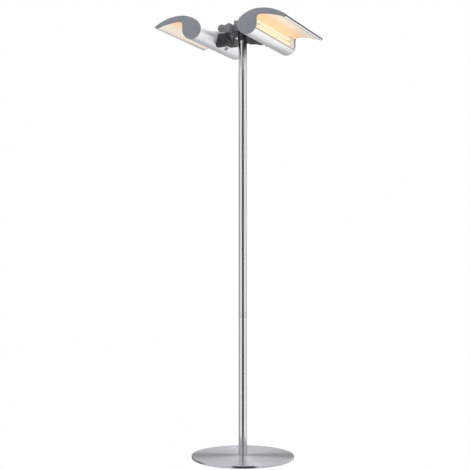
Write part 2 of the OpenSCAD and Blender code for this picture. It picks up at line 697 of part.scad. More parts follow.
module hinge_leaf(side) color([0.75, 0.76, 0.78]) head_place(side) difference() {
    union() {
        box([saddle_u, 5 - saddle_half, saddle_top], [hinge_u + 2, saddle_half - 5, saddle_top + leaf_t]);
        along_y(-lug_w / 2, lug_w / 2) union() {
            translate([hinge_u, hinge_rise]) circle(r = lug_r);
            polygon([[stop_u, saddle_top + leaf_t / 2], [hinge_u + 2, saddle_top + leaf_t / 2],
                [hinge_u + lug_r * 0.8, hinge_rise - lug_r * 0.6], [hinge_u, hinge_rise],
                [hinge_u - lug_r, hinge_rise], [stop_u, arm_bottom + stop_h]]);
        }
    }
    translate([hinge_u, 0, hinge_rise]) rod_y(pin_r + run, -lug_w, lug_w);
    for (y = [-leaf_screw_y, leaf_screw_y]) translate([leaf_screw_u, y, 0]) {
        cylinder(r = saddle_screw_r + slack, h = 2 * hinge_rise);
        translate([0, 0, leaf_screw_top - saddle_screw_head_h])
            cylinder(r = saddle_screw_head_r + slack, h = leaf_t);
    }
}

module switch_frame(side) color([0.4, 0.41, 0.43]) head_place(side) switch_place() difference() {
    union() {
        box([-switch_half_t, -switch_half_y, barrel_r - switch_in], [switch_half_t, switch_half_y, barrel_r]);
        difference() {
            box([-switch_half_t - 1, -switch_half_y - 1.5, barrel_r - 3],
                [switch_half_t + 1, switch_half_y + 1.5, barrel_r + switch_flange]);
            rod_y(barrel_r + seat, -switch_half_y - 3, switch_half_y + 3);
        }
    }
    box([-rocker_half_t - 0.4, -rocker_half_y - 1.7, barrel_r - switch_in - cut],
        [rocker_half_t + 0.4, rocker_half_y + 1.7, barrel_r + switch_flange + cut]);
    translate([0, 0, rocker_pivot]) rod_x(rocker_pin_r + run, -switch_half_t - cut, switch_half_t + cut);
}

module switch_rocker(side) color([0.2, 0.2, 0.21]) head_place(side) switch_place()
    translate([0, 0, rocker_pivot]) rotate([-rocker_tilt, 0, 0]) union() {
        translate([-rocker_half_t, 0, 0]) rotate([90, 0, 90]) linear_extrude(2 * rocker_half_t) polygon([
            [-rocker_half_y, 4.4], [0, 2.8], [rocker_half_y, 4.4], [rocker_half_y - 0.8, -2],
            [0.8 - rocker_half_y, -2]
        ]);
        rod_x(rocker_pin_r, 0.5 - switch_half_t, switch_half_t - 0.5);
    }

// A round tube swept along points, each ring square to the path and turned no further than it has to be
function heading(p, i) = let (d = p[min(i + 1, len(p) - 1)] - p[max(i - 1, 0)]) d / norm(d);
function squared(s, d) = let (v = s - (s * d) * d) v / norm(v);
function sides(p, i, s) = i == len(p) ? [] : let (t = squared(s, heading(p, i))) concat([t], sides(p, i + 1, t));
function ring(c, d, s, r, n) =
    [for (k = [0 : n - 1]) c + r * (cos(360 * k / n) * s + sin(360 * k / n) * cross(d, s))];

module swept(p, r, n) let (s = sides(p, 0, [0, 0, 1])) polyhedron(
    points = [for (i = [0 : len(p) - 1]) each ring(p[i], heading(p, i), s[i], r, n)],
    faces = concat(
        [[for (k = [n - 1 : -1 : 0]) k]],
        [for (i = [0 : len(p) - 2], k = [0 : n - 1]) let (a = i * n + k, b = i * n + (k + 1) % n) [a, b, b + n]],
        [for (i = [0 : len(p) - 2], k = [0 : n - 1]) let (a = i * n + k, b = i * n + (k + 1) % n) [a, b + n, a + n]],
        [[for (k = [0 : n - 1]) (len(p) - 1) * n + k]]
    )
);

module lead(side) color([0.1, 0.1, 0.11]) on_side(side) translate([0, 0, axis_h])
    swept(lead_points, lead_d / 2, lead_sides);

module left_shell() shell(left);
module left_reflector() reflector(left);
module left_lip_trim() lip_trim(left);
module left_front_cap() cap(left, front_y, inner_front_y);
module left_rear_cap() cap(left, rear_y, inner_rear_y);
module left_cap_screws() cap_screws(left);
module left_tie_rods() tie_rods(left);
module left_lamp_tube() lamp_tube(left);
module left_lamp_base() lamp_base(left);
module left_lamp_holder() lamp_holder(left);
module left_lamp_clip() lamp_clip(left);
module left_ballast() ballast(left);
module left_saddle() saddle(left);
module left_hinge_leaf() hinge_leaf(left);
module left_saddle_screws() saddle_screws(left);
module left_switch_frame() switch_frame(left);
module left_switch_rocker() switch_rocker(left);
module left_lead() lead(left);

module right_shell() shell(right);
module right_reflector() reflector(right);
module right_lip_trim() lip_trim(right);
module right_front_cap() cap(right, front_y, inner_front_y);
module right_rear_cap() cap(right, rear_y, inner_rear_y);
module right_cap_screws() cap_screws(right);
module right_tie_rods() tie_rods(right);
module right_lamp_tube() lamp_tube(right);
module right_lamp_base() lamp_base(right);
module right_lamp_holder() lamp_holder(right);
module right_lamp_clip() lamp_clip(right);
module right_ballast() ballast(right);
module right_saddle() saddle(right);
module right_hinge_leaf() hinge_leaf(right);
module right_saddle_screws() saddle_screws(right);
module right_switch_frame() switch_frame(right);
module right_switch_rocker() switch_rocker(right);
module right_lead() lead(right);

foot_pad();
foot_weight();
foot_cover();
foot_bolt();
pole_plug();
lower_pole();
pole_joint();
upper_pole();
cable_grommet();
pole_wire();
bearing_plug();
swivel_washer();
spindle();
spindle_nut();
hub_collar();
hub_housing();
hub_lid();
terminal_block();
left_arm();
right_arm();
arm_screws();
left_hinge_pin();
right_hinge_pin();
left_shell();
left_reflector();
left_lip_trim();
left_front_cap();
left_rear_cap();
left_cap_screws();
left_tie_rods();
left_lamp_tube();
left_lamp_base();
left_lamp_holder();
left_lamp_clip();
left_ballast();
left_saddle();
left_hinge_leaf();
left_saddle_screws();
left_switch_frame();
left_switch_rocker();
left_lead();
right_shell();
right_reflector();
right_lip_trim();
right_front_cap();
right_rear_cap();
right_cap_screws();
right_tie_rods();
right_lamp_tube();
right_lamp_base();
right_lamp_holder();
right_lamp_clip();
right_ballast();
right_saddle();
right_hinge_leaf();
right_saddle_screws();
right_switch_frame();
right_switch_rocker();
right_lead();
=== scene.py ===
import json
import math
import bpy
from mathutils import Matrix, Vector

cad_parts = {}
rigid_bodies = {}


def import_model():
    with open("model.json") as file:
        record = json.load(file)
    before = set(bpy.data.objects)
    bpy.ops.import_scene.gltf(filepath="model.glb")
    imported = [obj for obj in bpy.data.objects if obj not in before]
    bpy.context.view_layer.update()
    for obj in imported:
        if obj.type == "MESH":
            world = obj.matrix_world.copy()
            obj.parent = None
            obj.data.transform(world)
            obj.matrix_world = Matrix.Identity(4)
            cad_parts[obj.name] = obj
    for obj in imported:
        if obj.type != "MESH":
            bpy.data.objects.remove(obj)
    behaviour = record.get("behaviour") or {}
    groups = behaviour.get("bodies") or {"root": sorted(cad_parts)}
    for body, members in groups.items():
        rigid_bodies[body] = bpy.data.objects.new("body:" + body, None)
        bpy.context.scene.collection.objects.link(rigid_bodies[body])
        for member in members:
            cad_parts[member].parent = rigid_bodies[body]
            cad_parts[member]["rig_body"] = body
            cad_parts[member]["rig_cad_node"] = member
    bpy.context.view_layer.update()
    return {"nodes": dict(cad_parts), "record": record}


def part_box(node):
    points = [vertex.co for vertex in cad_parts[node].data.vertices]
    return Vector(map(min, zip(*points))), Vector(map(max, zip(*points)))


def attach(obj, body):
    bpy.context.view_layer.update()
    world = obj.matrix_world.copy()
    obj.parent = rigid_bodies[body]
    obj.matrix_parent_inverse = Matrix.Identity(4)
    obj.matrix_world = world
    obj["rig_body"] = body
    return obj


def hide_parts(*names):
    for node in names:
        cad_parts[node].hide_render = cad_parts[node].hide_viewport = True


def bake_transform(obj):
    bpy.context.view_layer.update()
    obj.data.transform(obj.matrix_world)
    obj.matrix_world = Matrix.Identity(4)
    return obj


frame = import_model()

print("frame loaded")


# a socket that maths can be written on

class Wire:
    def __init__(self, graph, socket):
        self.graph = graph
        self.socket = socket

    def maths(self, operation, *values):
        inputs = {i: v for i, v in enumerate(values)}
        return self.graph.node("ShaderNodeMath", {"operation": operation}, inputs)

    def __add__(self, other):
        return self.maths("ADD", self, other)

    def __radd__(self, other):
        return self.maths("ADD", other, self)

    def __sub__(self, other):
        return self.maths("SUBTRACT", self, other)

    def __rsub__(self, other):
        return self.maths("SUBTRACT", other, self)

    def __mul__(self, other):
        return self.maths("MULTIPLY", self, other)

    def __rmul__(self, other):
        return self.maths("MULTIPLY", other, self)

    def __truediv__(self, other):
        return self.maths("DIVIDE", self, other)

    def __pow__(self, other):
        return self.maths("POWER", self, other)

    def __abs__(self):
        return self.maths("ABSOLUTE", self)

    def step(self, low, high):
        settings = {"interpolation_type": "SMOOTHSTEP"}
        inputs = {0: self, 1: low, 2: high, 3: 0.0, 4: 1.0}
        return self.graph.node("ShaderNodeMapRange", settings, inputs)


class Graph:
    def __init__(self, name, **shader):
        self.material = bpy.data.materials.new(name)
        self.material.use_nodes = True
        self.tree = self.material.node_tree
        self.shader = self.tree.nodes["Principled BSDF"]
        for key, value in shader.items():
            self.shader.inputs[key.replace("_", " ")].default_value = value

    @classmethod
    def on(cls, tree):
        # for a world's nodes, which have no surface shader
        graph = cls.__new__(cls)
        graph.tree = tree
        return graph

    def node(self, kind, settings=None, inputs=None, output=0):
        made = self.tree.nodes.new(kind)
        for key, value in (settings or {}).items():
            setattr(made, key, value)
        for key, value in (inputs or {}).items():
            self.put(made.inputs[key], value)
        return Wire(self, made.outputs[output])

    def put(self, socket, value):
        if isinstance(value, Wire):
            self.tree.links.new(value.socket, socket)
        else:
            socket.default_value = value

    def set(self, **inputs):
        for key, value in inputs.items():
            self.put(self.shader.inputs[key.replace("_", " ")], value)
        return self.material

    def place(self):
        return self.node("ShaderNodeTexCoord", output="Object")

    def stretched(self, scale):
        return self.node("ShaderNodeMapping", {}, {"Vector": self.place(), "Scale": scale})

    def noise(self, vector, scale, detail):
        inputs = {"Vector": vector, "Scale": scale, "Detail": detail, "Roughness": 0.55}
        return self.node("ShaderNodeTexNoise", {"noise_dimensions": "3D"}, inputs, "Fac")

    def axes(self, vector):
        return [self.node("ShaderNodeSeparateXYZ", {}, {0: vector}, i) for i in range(3)]

    def blend(self, mask, first, second):
        inputs = {0: mask, 6: first, 7: second}
        return self.node("ShaderNodeMix", {"data_type": "RGBA"}, inputs, 2)

    def bump(self, height, distance, strength):
        inputs = {"Height": height, "Distance": distance, "Strength": strength}
        return self.node("ShaderNodeBump", {}, inputs)


def shade(r, g, b):
    return (r, g, b, 1.0)


# the barrel of the right head runs front to back round this line
barrelRadius = 0.040
rightLow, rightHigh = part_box("right_shell")
axisX = rightLow.x + barrelRadius
axisH = rightLow.z + barrelRadius


# finishes, made from noise stretched the way each one was brushed, sprayed or moulded

steel = {
    "poleColour": (0.68, 0.685, 0.70),
    "poleDark": (0.61, 0.615, 0.63),
    "poleEdge": (0.25, 0.25, 0.27),
    "poleRoughness": 0.19,
    "footColour": (0.52, 0.53, 0.56),
    "footDark": (0.455, 0.465, 0.495),
    "footRoughness": 0.26,
    "lineWidth": 0.00025,
}


def brushedPole(name, light, dark, roughness):
    g = Graph(name, Metallic=1.0, Specular_Tint=shade(*steel["poleEdge"]))
    fine = g.noise(g.stretched((1, 1, 0.012)), 1 / steel["lineWidth"] / 4, 2.0)
    broad = g.noise(g.stretched((1, 1, 0.03)), 90.0, 2.0)
    smudge = g.noise(g.place(), 5.0, 4.0)
    tone = (fine * 0.6 + broad * 0.4).step(0.3, 0.7)
    return g.set(
        Base_Color=g.blend(tone, shade(*dark), shade(*light)),
        Roughness=roughness - 0.03 + fine * 0.05 + smudge * 0.04,
        Normal=g.bump(fine, 0.000004, 0.15),
    )


def brushedFoot(name):
    g = Graph(name, Metallic=1.0, Anisotropic=1.0, Anisotropic_Rotation=0.25)
    x, y, z = g.axes(g.place())
    radius = (x * x + y * y) ** 0.5
    rings = g.node("ShaderNodeCombineXYZ", {}, {0: radius, 1: x * 0.004, 2: y * 0.004})
    fine = g.noise(rings, 1 / steel["lineWidth"] / 3, 2.0)
    broad = g.noise(rings, 160.0, 2.0)
    smudge = g.noise(g.place(), 9.0, 4.0)
    tone = (fine * 0.5 + broad * 0.5).step(0.3, 0.7)
    return g.set(
        Base_Color=g.blend(tone, shade(*steel["footDark"]), shade(*steel["footColour"])),
        Roughness=steel["footRoughness"] - 0.04 + fine * 0.08 + smudge * 0.06,
        Normal=g.bump(fine, 0.00003, 0.3),
    )


def brushedAlong(name, light, dark, roughness):
    # fine lines that run along the head, front to back
    g = Graph(name, Metallic=1.0, Anisotropic=0.4)
    fine = g.noise(g.stretched((1, 0.01, 1)), 900.0, 2.0)
    smudge = g.noise(g.place(), 14.0, 4.0)
    tone = fine.step(0.3, 0.7)
    return g.set(
        Base_Color=g.blend(tone, shade(*dark), shade(*light)),
        Roughness=roughness - 0.03 + fine * 0.08 + smudge * 0.05,
        Normal=g.bump(fine, 0.00003, 0.3),
    )


satin = {
    "light": (0.92, 0.93, 0.94),
    "dark": (0.84, 0.85, 0.865),
    "brownLine": (0.13, 0.085, 0.07),
    "metallic": 0.70,
    "roughness": 0.40,
    # where the dark brown line starts and stops, up and out from the barrel's line
    "brownLineFrom": (-0.0200, -0.0192),
    "brownLineTo": (-0.0166, -0.0160),
    "brownLineOut": (0.030, 0.031),
}


def shellSheet(name):
    # satin sheet, coloured with a thin dark brown, non-metallic line along the edge below the lamp
    g = Graph(name, Anisotropic=0.3)
    fine = g.noise(g.stretched((1, 0.01, 1)), 900.0, 2.0)
    smudge = g.noise(g.place(), 14.0, 4.0)
    x, y, z = g.axes(g.place())
    out = abs(x) - axisX
    up = z - axisH
    brownLine = up.step(*satin["brownLineFrom"]) * (1 - up.step(*satin["brownLineTo"])) * out.step(*satin["brownLineOut"])
    sheet = g.blend(fine.step(0.3, 0.7), shade(*satin["dark"]), shade(*satin["light"]))
    return g.set(
        Base_Color=g.blend(brownLine, sheet, shade(*satin["brownLine"])),
        Metallic=satin["metallic"] * (1 - brownLine),
        Roughness=satin["roughness"] - 0.03 + fine * 0.08 + smudge * 0.05,
        Normal=g.bump(fine, 0.00003, 0.3),
    )


def plainMetal(name, light, dark, roughness):
    grain = 260.0
    g = Graph(name, Metallic=1.0)
    cloudy = g.noise(g.place(), grain, 4.0)
    broad = g.noise(g.place(), grain / 12, 3.0)
    tone = (cloudy * 0.5 + broad * 0.5).step(0.3, 0.7)
    return g.set(
        Base_Color=g.blend(tone, shade(*dark), shade(*light)),
        Roughness=roughness - 0.06 + cloudy * 0.12,
        Normal=g.bump(cloudy, 0.00005, 0.3),
    )


def paint(name, light, dark, roughness, coat=0.0, metallic=0.0):
    # sprayed paint: a fine orange-peel skin, slightly cloudy, with a few rubbed places
    g = Graph(name, Coat_Weight=coat, Coat_Roughness=0.2)
    skin = g.noise(g.place(), 1400.0, 3.0)
    cloudy = g.noise(g.place(), 22.0, 4.0)
    rubbed = g.noise(g.place(), 6.0, 5.0).step(0.62, 0.78)
    tone = (cloudy * 0.7 + skin * 0.3).step(0.25, 0.75)
    return g.set(
        Base_Color=g.blend(tone, shade(*dark), shade(*light)),
        Roughness=roughness + skin * 0.08 - rubbed * 0.07,
        Metallic=metallic + cloudy * 0.04 * metallic,
        Normal=g.bump(skin, 0.00005, 0.5),
    )


def moulded(name, light, dark, roughness, grain=2200.0, depth=0.00003):
    g = Graph(name, Specular_IOR_Level=0.45)
    grainy = g.noise(g.place(), grain, 2.0)
    cloudy = g.noise(g.place(), 30.0, 3.0)
    return g.set(
        Base_Color=g.blend(cloudy.step(0.3, 0.7), shade(*dark), shade(*light)),
        Roughness=roughness + grainy * 0.1,
        Normal=g.bump(grainy, depth, 0.5),
    )


glow = {
    "tubeColour": (1.0, 0.80, 0.52),
    "tubeStrength": 0.40,
    "tubeEnd": 0.012,
    "enamel": (0.90, 0.84, 0.74),
    "enamelDark": (0.87, 0.81, 0.70),
    # painted glow: emission colours and a warm tint that stand in for the lamp's light on the reflector
    # sheet
    "paintedCoveGlow": (1.0, 0.42, 0.08),
    "paintedTroughGlow": (0.80, 0.50, 0.22),
    "paintedWingGlow": (0.62, 0.48, 0.36),
    "paintedWarmLight": (0.84, 0.60, 0.33),
    "paintedGlowStrength": 0.32,
    # where the painted glow gathers, out and up from the barrel's line
    "coveOut": (0.052, 0.125),
    "coveUp": (0.014, 0.029),
    "troughOut": (0.036, 0.042),
}


def litTube(name, low, high):
    # phosphor glass: even along its length, dimmer and browner close to both ends
    g = Graph(name, Emission_Strength=glow["tubeStrength"], Roughness=0.25)
    x, y, z = g.axes(g.place())
    mid = (low + high) / 2
    fromEnd = (high - low) / 2 - abs(y - mid)
    lit = fromEnd.step(0.0, glow["tubeEnd"])
    mottle = g.noise(g.place(), 120.0, 3.0)
    warm = glow["tubeColour"]
    brown = tuple(c * k for c, k in zip(warm, (0.55, 0.42, 0.30)))
    return g.set(
        Base_Color=g.blend(mottle, shade(0.62, 0.57, 0.46), shade(0.68, 0.62, 0.50)),
        Roughness=0.2 + mottle * 0.12,
        Emission_Color=g.blend(lit, shade(*brown), shade(*warm)),
    )


def enamelWithPaintedGlow(name):
    # painted light: the lamp's light is painted on the sheet as a glow and a warm tint, gathering in the
    # cove and fading towards the wing's tip
    g = Graph(name, Emission_Strength=glow["paintedGlowStrength"])
    skin = g.noise(g.place(), 900.0, 3.0)
    cloudy = g.noise(g.place(), 16.0, 3.0)
    x, y, z = g.axes(g.place())
    out = abs(x) - axisX
    near = (1 - out.step(*glow["coveOut"])) * (z - axisH).step(*glow["coveUp"])
    # painted light: the mask where the lamp's glow is painted, strongest in the cove
    paintedGlow = near * (0.85 + 0.3 * cloudy)
    plain = g.blend(cloudy.step(0.3, 0.7), shade(*glow["enamelDark"]), shade(*glow["enamel"]))
    along = g.blend(paintedGlow, shade(*glow["paintedWingGlow"]), shade(*glow["paintedCoveGlow"]))
    return g.set(
        Base_Color=g.blend(paintedGlow * 0.6, plain, shade(*glow["paintedWarmLight"])),
        Roughness=0.32 + skin * 0.1,
        Emission_Color=g.blend(out.step(*glow["troughOut"]), shade(*glow["paintedTroughGlow"]), along),
        Normal=g.bump(skin, 0.00003, 0.4),
    )


materials = {
    "rubber": moulded("matt rubber", (0.035, 0.035, 0.038), (0.02, 0.02, 0.022), 0.7, 900.0, 0.0001),
    "weight": plainMetal("cast iron", (0.20, 0.20, 0.21), (0.12, 0.12, 0.125), 0.6),
    "foot_steel": brushedFoot("circle-brushed steel"),
    "pole_steel": brushedPole(
        "line-brushed steel", steel["poleColour"], steel["poleDark"], steel["poleRoughness"]),
    "band_steel": brushedPole("turned steel band", (0.62, 0.625, 0.64), (0.54, 0.545, 0.56), 0.24),
    "zinc": plainMetal("zinc plate", (0.46, 0.47, 0.49), (0.36, 0.37, 0.39), 0.38),
    "pin_steel": paint(
        "painted pin ends", (0.170, 0.180, 0.200), (0.145, 0.155, 0.172), 0.36, metallic=0.3),
    "leaf_steel": brushedAlong("satin steel", (0.74, 0.75, 0.76), (0.62, 0.63, 0.64), 0.30),
    "bronze": plainMetal("bearing bronze", (0.62, 0.45, 0.22), (0.50, 0.35, 0.16), 0.38),
    "nylon": moulded("natural nylon", (0.80, 0.79, 0.74), (0.74, 0.73, 0.68), 0.45),
    "cable": moulded("cable sheath", (0.022, 0.022, 0.024), (0.014, 0.014, 0.016), 0.42),
    "black": paint("black paint", (0.036, 0.039, 0.041), (0.026, 0.028, 0.030), 0.46),
    "grey": paint("mid-grey paint", (0.185, 0.195, 0.210), (0.155, 0.165, 0.180), 0.38, coat=0.1),
    "shell": shellSheet("satin aluminium"),
    # the reflector sheet carries painted glow and a painted warm tint from the lamp
    "reflector": enamelWithPaintedGlow("white enamel with painted glow"),
    "dark_trim": moulded("dark strip", (0.045, 0.042, 0.042), (0.03, 0.028, 0.028), 0.35),
    "cap": paint("grey cap paint", (0.235, 0.250, 0.280), (0.195, 0.210, 0.240), 0.38, coat=0.1),
    "lamp_plastic": moulded("white plastic", (0.82, 0.80, 0.75), (0.76, 0.74, 0.69), 0.35),
    "ballast": moulded("pale plastic case", (0.62, 0.63, 0.62), (0.56, 0.57, 0.56), 0.5),
    "switch_grey": moulded("grey plastic", (0.38, 0.39, 0.41), (0.33, 0.34, 0.36), 0.4),
    "switch_black": moulded("black plastic", (0.02, 0.02, 0.022), (0.013, 0.013, 0.015), 0.3),
}
tubeLow, tubeHigh = (p.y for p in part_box("right_lamp_tube"))
materials["lamp_glass"] = litTube("lit glass tube", tubeLow, tubeHigh)

slots = {s["node"]: s["material_slot"] for s in frame["record"]["subparts"]}
for nodeName, node in frame["nodes"].items():
    node.data.materials.clear()
    node.data.materials.append(materials[slots[nodeName]])
print("materials made:", len(materials))


# picking, editing and finishing a piece

def deselect():
    if bpy.context.mode != "OBJECT":
        bpy.ops.object.mode_set(mode="OBJECT")
    bpy.ops.object.select_all(action="DESELECT")


def pick(piece):
    deselect()
    piece.select_set(True)
    bpy.context.view_layer.objects.active = piece
    return piece


def edit(piece, select="SELECT"):
    pick(piece)
    bpy.ops.object.mode_set(mode="EDIT")
    bpy.ops.mesh.select_mode(type="VERT")
    bpy.ops.mesh.select_all(action=select)


def settle(piece, angle=30.0):
    # its place goes into its mesh, and only its sharp edges stay sharp
    pick(piece)
    bpy.ops.object.transform_apply(location=True, rotation=True, scale=True)
    bpy.ops.object.shade_smooth_by_angle(angle=math.radians(angle))
    return piece


def finishMod(piece, kind, **settings):
    pick(piece)
    modifier = piece.modifiers.new(kind.title(), kind)
    for key, value in settings.items():
        setattr(modifier, key, value)
    bpy.ops.object.modifier_apply(modifier=modifier.name)
    return piece


def selectEdges(piece, wanted):
    # wanted is given both ends of an edge
    edit(piece, "DESELECT")
    bpy.ops.mesh.select_mode(type="EDGE")
    bpy.ops.object.mode_set(mode="OBJECT")
    points = piece.data.vertices
    for edge in piece.data.edges:
        edge.select = wanted(points[edge.vertices[0]].co, points[edge.vertices[1]].co)
    bpy.ops.object.mode_set(mode="EDIT")


def outwards(piece):
    edit(piece)
    bpy.ops.mesh.remove_doubles(threshold=0.00001)
    bpy.ops.mesh.normals_make_consistent(inside=False)
    bpy.ops.object.mode_set(mode="OBJECT")


def stand(piece, name, body, *nodes):
    # the finished piece takes its name, its finish, its body and the place of its nodes
    piece.name = piece.data.name = name
    piece.data.materials.clear()
    piece.data.materials.append(materials[slots[nodes[0]]])
    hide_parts(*nodes)
    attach(piece, body)
    return piece


def softened(node, body, width, segments):
    # a copy of a node with its edges rounded
    deselect()
    piece = frame["nodes"][node].copy()
    piece.data = frame["nodes"][node].data.copy()
    piece.parent = None
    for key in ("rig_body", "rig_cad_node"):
        del piece[key]
    bpy.context.scene.collection.objects.link(piece)
    edit(piece)
    bpy.ops.mesh.remove_doubles(threshold=0.000005)
    bpy.ops.mesh.dissolve_limited(angle_limit=math.radians(0.5))
    bpy.ops.object.mode_set(mode="OBJECT")
    finishMod(piece, "BEVEL", width=width, segments=segments, limit_method="ANGLE",
              angle_limit=math.radians(32), use_clamp_overlap=True, harden_normals=False)
    settle(piece, 35.0)
    return stand(piece, node + "_soft", body, node)


def cutAway(piece, cutter):
    finishMod(piece, "BOOLEAN", operation="DIFFERENCE", object=cutter, solver="EXACT")
    bpy.data.objects.remove(cutter)
    return piece


def rod(radius, start, end, vertices=48):
    # a plain cylinder between two points, used as a cutter or as a start
    start, end = Vector(start), Vector(end)
    facing = (end - start).to_track_quat("Z", "Y").to_euler()
    deselect()
    bpy.ops.mesh.primitive_cylinder_add(vertices=vertices, radius=radius, depth=(end - start).length,
                                        location=(start + end) / 2, rotation=facing)
    return bpy.context.object


def buildFoot():
    foot = {"edgeRadius": 0.0025, "skin": 0.0015, "sides": 224}
    low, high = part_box("foot_cover")
    deselect()
    bpy.ops.mesh.primitive_circle_add(vertices=foot["sides"], radius=high.x, fill_type="NGON",
                                      location=(0, 0, low.z))
    piece = bpy.context.object
    edit(piece)
    bpy.ops.mesh.extrude_region_move(TRANSFORM_OT_translate={"value": (0, 0, high.z - low.z)})
    bpy.ops.object.mode_set(mode="OBJECT")
    settle(piece)
    selectEdges(piece, lambda a, b: min(a.z, b.z) > high.z - 0.0001)
    bpy.ops.mesh.bevel(offset=foot["edgeRadius"], segments=6, affect="EDGES")
    bpy.ops.object.mode_set(mode="OBJECT")
    outwards(piece)
    finishMod(piece, "SOLIDIFY", thickness=foot["skin"], offset=-1.0)
    stand(settle(piece), "foot_skin", "stand", "foot_cover")


def buildPole(name, node, holed):
    tube = {"wall": 0.0015, "lip": 0.0005, "sides": 128, "holeRadius": 0.00505}
    low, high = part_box(node)
    deselect()
    bpy.ops.mesh.primitive_cylinder_add(vertices=tube["sides"], radius=high.x, depth=high.z - low.z,
                                        end_fill_type="NOTHING", location=(0, 0, (low.z + high.z) / 2))
    piece = settle(bpy.context.object)
    finishMod(piece, "SOLIDIFY", thickness=tube["wall"], offset=-1.0)
    finishMod(piece, "BEVEL", width=tube["lip"], segments=3, limit_method="ANGLE",
              angle_limit=math.radians(40))
    if holed:
        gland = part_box("cable_grommet")
        middle = (gland[0].z + gland[1].z) / 2
        cutAway(piece, rod(tube["holeRadius"], (0, 0, middle), (0, high.x * 1.5, middle)))
    stand(settle(piece, 40.0), name, "stand", node)


buildFoot()
buildPole("pole_lower", "lower_pole", True)
buildPole("pole_upper", "upper_pole", False)
softened("pole_joint", "stand", 0.0006, 3)
softened("cable_grommet", "stand", 0.0005, 2)
print("foot and pole built")


# the heads' outline, about the barrel's centre line: first number out from the pole, second up

outline = {
    "barrel": barrelRadius,
    "crest": (0.050, 0.057),
    "tip": (0.161, 0.022),
    "tipThickness": 0.012,
    "ceiling": 0.0335,
    "cove": 0.014,
    "shell": 0.002,
    "sheet": 0.001,
    "lip": 0.011,
    "trough": 0.022,
    "troughTop": 0.027,
    "troughLow": -0.017,
    "step": 2.5,  # degrees between points, and closer on arcs of a large radius
    "largeRadius": 0.08,
    "largeStep": 1.2,
}


def arcs():
    o = outline
    barrel, (cu, cv), (tu, tv) = o["barrel"], o["crest"], o["tip"]
    found = {}
    r = (cu ** 2 + cv ** 2 - barrel ** 2) / (2 * (cv - barrel))
    found["back"] = (Vector((cu, cv - r)), r)
    found["backAngle"] = math.degrees(math.atan2(r - cv, -cu))
    w = ((tu - cu) ** 2 + (cv - tv) ** 2) / (2 * (cv - tv))
    centre = Vector((cu, cv - w))
    found["wing"] = (centre, w)
    tipAngle = math.atan2(tv - centre.y, tu - centre.x)
    found["tipAngle"] = math.degrees(tipAngle)
    inner = centre + (w - o["tipThickness"]) * Vector((math.cos(tipAngle), math.sin(tipAngle)))
    found["inner"] = inner
    c = ((inner.x - barrel) ** 2 + (o["ceiling"] - inner.y) ** 2) / (2 * (o["ceiling"] - inner.y))
    roof = Vector((barrel, o["ceiling"] - c))
    found["ceiling"] = (roof, c)
    found["ceilingAngle"] = math.degrees(math.atan2(inner.y - roof.y, inner.x - roof.x))
    k = o["cove"]
    cove = Vector((barrel + k, roof.y + math.sqrt(c * c - 2 * c * k)))
    found["cove"] = (cove, k)
    found["coveAngle"] = math.degrees(math.atan2(cove.y - roof.y, cove.x - roof.x))
    return found


arc = arcs()
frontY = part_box("right_front_cap")[0].y
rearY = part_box("right_rear_cap")[1].y
shellFront, shellRear = rightLow.y, rightHigh.y


def around(circle, degrees):
    centre, radius = circle
    return centre + radius * Vector((math.cos(math.radians(degrees)), math.sin(math.radians(degrees))))


def trace(start, moves, y):
    # draws a chain in the plane of a cap: an arc is (centre, degrees), a straight move is its end point
    deselect()
    bpy.ops.mesh.primitive_plane_add(size=0.001, location=(0, 0, 0))
    piece = bpy.context.object
    edit(piece)
    bpy.ops.mesh.merge(type="CENTER")
    bpy.ops.transform.translate(value=(axisX + start[0], y, axisH + start[1]))
    here = Vector(start)
    for move in moves:
        if isinstance(move[0], Vector):
            centre, degrees = move
            steps = max(2, math.ceil(abs(degrees) / outline["step"]))
            if (here - centre).length > outline["largeRadius"]:
                steps = max(steps, math.ceil(abs(degrees) / outline["largeStep"]))
            bpy.ops.mesh.spin(steps=steps, angle=math.radians(degrees), axis=(0, 1, 0),
                              center=(axisX + centre.x, y, axisH + centre.y))
            here = centre + Matrix.Rotation(math.radians(degrees), 2) @ (here - centre)
        else:
            there = Vector(move)
            gap = there - here
            bpy.ops.mesh.extrude_vertices_move(TRANSFORM_OT_translate={"value": (gap.x, 0, gap.y)})
            here = there
    bpy.ops.mesh.select_all(action="SELECT")
    bpy.ops.mesh.remove_doubles(threshold=0.00001)
    bpy.ops.object.mode_set(mode="OBJECT")
    return piece


def stretchAlong(piece, length):
    edit(piece)
    bpy.ops.mesh.extrude_region_move(TRANSFORM_OT_translate={"value": (0, length, 0)})
    bpy.ops.object.mode_set(mode="OBJECT")
    return piece


def mirrored(piece):
    # the same piece for the left head, with a mesh of its own
    pick(piece)
    bpy.ops.object.duplicate(linked=False)
    twin = bpy.context.object
    bpy.ops.transform.resize(value=(-1, 1, 1), center_override=(0, 0, 0))
    bpy.ops.object.transform_apply(location=True, rotation=True, scale=True)
    edit(twin)
    bpy.ops.mesh.flip_normals()
    bpy.ops.object.mode_set(mode="OBJECT")
    return twin


def bothHeads(piece, name, node):
    settle(piece)
    twin = mirrored(piece)
    pick(twin)
    bpy.ops.object.shade_smooth_by_angle(angle=math.radians(30))
    stand(piece, "right_" + name, "right_head", "right_" + node)
    stand(twin, "left_" + name, "left_head", "left_" + node)


def fullOutline(y):
    barrelCentre = Vector((0, 0))
    start = (outline["barrel"], 0.0)
    moves = [
        (barrelCentre, arc["backAngle"] - 360),
        (arc["back"][0], 90 - arc["backAngle"]),
        (arc["wing"][0], arc["tipAngle"] - 90),
        tuple(arc["inner"]),
        (arc["ceiling"][0], arc["coveAngle"] - arc["ceilingAngle"]),
        (arc["cove"][0], 180 - arc["coveAngle"]),
        start,
    ]
    return trace(start, moves, y)


screwPlaces = [(0.0, 0.0), (outline["crest"][0] + 0.012, 0.0447)]


